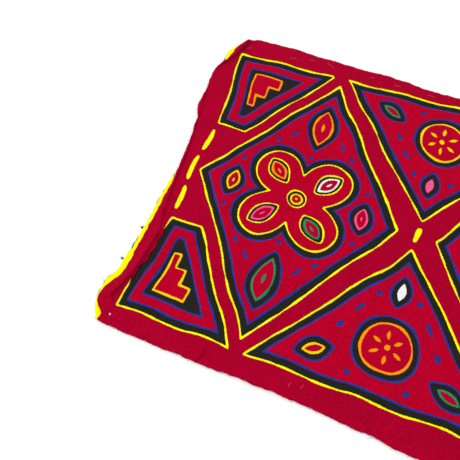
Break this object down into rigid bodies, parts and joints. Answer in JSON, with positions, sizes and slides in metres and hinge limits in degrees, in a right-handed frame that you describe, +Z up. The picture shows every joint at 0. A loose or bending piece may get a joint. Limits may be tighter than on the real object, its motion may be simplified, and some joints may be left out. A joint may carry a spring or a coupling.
{
  "type": "mola panel",
  "caption": "Flat hand-sewn mola panel: layered cotton cloths with cut windows, nested coloured outlines, raw edges and a rolled, rumpled left hem",
  "frame": {"origin": "middle of the panel's outline, on the surface it lies on", "axes": "+X along the panel's width towards its plain right edge, +Y up the panel to its top edge, +Z up, out of the worked face"},
  "size_m": [0.4198, 0.3044, 0.0076],
  "materials": {
    "red_cotton": "matte plain weave",
    "bright_red_cotton": "matte plain weave",
    "yellow_cotton": "matte plain weave",
    "black_cotton": "matte plain weave",
    "blue_cotton": "matte plain weave",
    "orange_cotton": "matte plain weave",
    "green_cotton": "matte plain weave",
    "pink_cotton": "matte plain weave",
    "white_cotton": "matte plain weave",
    "purple_cotton": "matte plain weave",
    "gold_cotton": "matte plain weave"
  },
  "bodies": {
    "root": {"black_ground": "black_cotton", "blue_corner_bottom_left": "blue_cotton", "blue_corner_bottom_right": "blue_cotton", "blue_corner_top_left": "blue_cotton", "blue_corner_top_right": "blue_cotton", "blue_lozenge_left": "blue_cotton", "blue_lozenge_right": "blue_cotton", "blue_middle_bottom": "blue_cotton", "blue_middle_top": "blue_cotton", "heart_left_gold": "gold_cotton", "heart_right_green": "green_cotton", "leaf_left_1_orange": "orange_cotton", "leaf_left_2_green": "green_cotton", "leaf_left_3_gold": "gold_cotton", "leaf_left_4_pink": "pink_cotton", "leaf_right_1_green": "green_cotton", "leaf_right_2_purple": "purple_cotton", "leaf_right_3_orange": "orange_cotton", "leaf_right_4_gold": "gold_cotton", "middle_bottom_1_white": "white_cotton", "middle_bottom_2_gold": "gold_cotton", "middle_bottom_3_green": "green_cotton", "middle_bottom_4_orange": "orange_cotton", "middle_top_1_pink": "pink_cotton", "middle_top_2_green": "green_cotton", "middle_top_3_orange": "orange_cotton", "middle_top_4_gold": "gold_cotton", "petal_left_1_white": "white_cotton", "petal_left_2_orange": "orange_cotton", "petal_left_3_pink": "pink_cotton", "petal_left_4_green": "green_cotton", "petal_right_1_pink": "pink_cotton", "petal_right_2_gold": "gold_cotton", "petal_right_3_white": "white_cotton", "petal_right_4_purple": "purple_cotton", "red_corner_bottom_left": "bright_red_cotton", "red_corner_bottom_right": "bright_red_cotton", "red_corner_top_left": "bright_red_cotton", "red_corner_top_right": "bright_red_cotton", "red_flower_left": "bright_red_cotton", "red_flower_right": "bright_red_cotton", "red_lozenge_left": "bright_red_cotton", "red_lozenge_right": "bright_red_cotton", "red_middle_bottom": "bright_red_cotton", "red_middle_top": "bright_red_cotton", "red_top_cloth": "red_cotton", "stair_bottom_left_gold": "gold_cotton", "stair_bottom_right_green": "green_cotton", "stair_top_left_orange": "orange_cotton", "stair_top_right_pink": "pink_cotton", "yellow_cloth": "yellow_cotton", "yellow_flower_left": "yellow_cotton", "yellow_flower_right": "yellow_cotton"}
  },
  "joints": []
}
